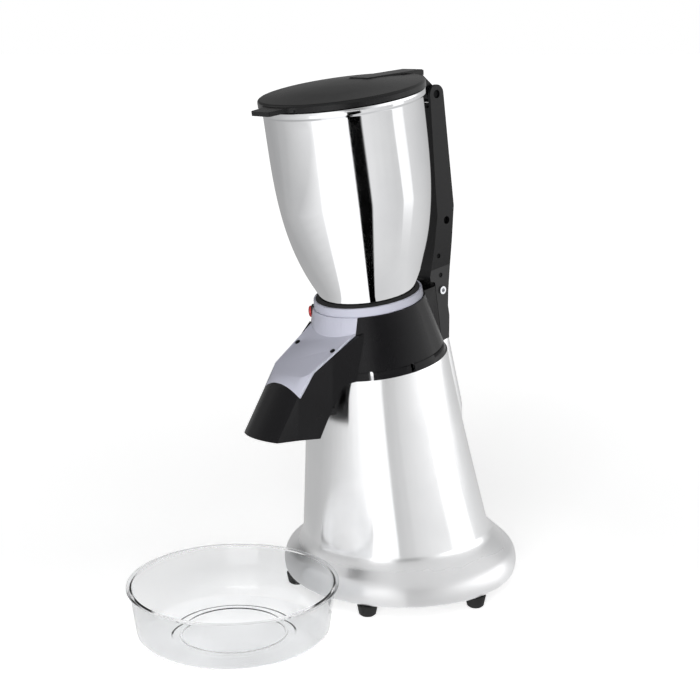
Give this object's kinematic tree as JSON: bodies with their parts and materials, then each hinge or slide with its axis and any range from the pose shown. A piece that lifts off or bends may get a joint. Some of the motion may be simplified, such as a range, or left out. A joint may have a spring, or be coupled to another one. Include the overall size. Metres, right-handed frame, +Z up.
{
  "type": "shaved ice machine",
  "caption": "Free-standing shaved ice machine with a leaning steel hopper, hinged lid, motor-driven cutter disc, sloping spout, start button and a loose catch bowl.",
  "frame": {"origin": "centre of the foot ring, on the table that the rubber feet stand on", "axes": "+Z up, front and spout towards -Y, +X to the machine's left hand as it faces you"},
  "size_m": [0.23, 0.4201, 0.4988],
  "materials": {
    "polished_aluminium": "polished",
    "mirror_steel": "mirror polished",
    "plain_steel": "turned",
    "black_steel": "blackened",
    "laminated_iron": "bare",
    "winding_copper": "enamelled",
    "black_plastic": "moulded",
    "lavender_plastic": "moulded",
    "white_plastic": "moulded",
    "red_plastic": "gloss",
    "clear_plastic": "clear",
    "black_rubber": "matt"
  },
  "bodies": {
    "machine": {"base_casting": "polished_aluminium", "base_cover": "black_plastic", "rubber_feet": "black_rubber", "foot_screws": "plain_steel", "cable_gland": "black_plastic", "motor_housing": "plain_steel", "stator_core": "laminated_iron", "stator_windings": "winding_copper", "upper_bell": "polished_aluminium", "lower_bell": "polished_aluminium", "motor_screws": "plain_steel", "bearings": "plain_steel", "run_capacitor": "white_plastic", "capacitor_clip": "plain_steel", "chamber_floor": "plain_steel", "shaft_seal": "black_rubber", "chamber_liner": "plain_steel", "collar_housing": "black_plastic", "spout_cover": "lavender_plastic", "cover_screws": "black_steel", "clamp_ring": "lavender_plastic", "hopper_gasket": "black_rubber", "hopper": "mirror_steel", "right_post": "black_plastic", "left_post": "black_plastic", "post_bolt": "plain_steel", "post_screw": "black_steel", "hinge_pin": "black_steel", "lid_switch": "black_plastic", "switch_screws": "black_steel", "button_bezel": "black_plastic", "button_switch": "black_plastic"},
    "rotor": {"motor_shaft": "plain_steel", "rotor_core": "laminated_iron", "cooling_fan": "black_plastic", "ejector": "white_plastic", "cutter_disc": "plain_steel", "knives": "mirror_steel", "knife_screws": "plain_steel", "hub_nut": "plain_steel"},
    "lid": {"lid": "black_plastic"},
    "interlock": {"interlock_rod": "white_plastic", "switch_plunger": "red_plastic"},
    "button": {"start_button": "red_plastic"},
    "bowl": {"catch_bowl": "clear_plastic"}
  },
  "joints": [
    {"name": "rotor_spin", "type": "hinge", "parent": "machine", "child": "rotor", "pos_m": [0, 0.0058, 0], "axis": [0, -0.1702, 0.9854], "continuous": true},
    {"name": "lid_hinge", "type": "hinge", "parent": "machine", "child": "lid", "pos_m": [0, 0.02732, 0.47408], "axis": [-1, 0, 0], "range_deg": [0, 105]},
    {"name": "interlock_slide", "type": "slide", "parent": "machine", "child": "interlock", "axis": [0, -0.0778, 0.997], "range_m": [0, 0.003]},
    {"name": "button_press", "type": "slide", "parent": "machine", "child": "button", "axis": [0.788, 0.6067, 0.1048], "range_m": [0, 0.0018], "stiffness_N_per_m": 300},
    {"name": "bowl_pull", "type": "slide", "parent": "machine", "child": "bowl", "axis": [0, -1, 0], "range_m": [0, 0.12]}
  ],
  "couplings": [
    {"joint": "interlock_slide", "follows": "lid_hinge", "m_per_rad": 0.001637}
  ]
}
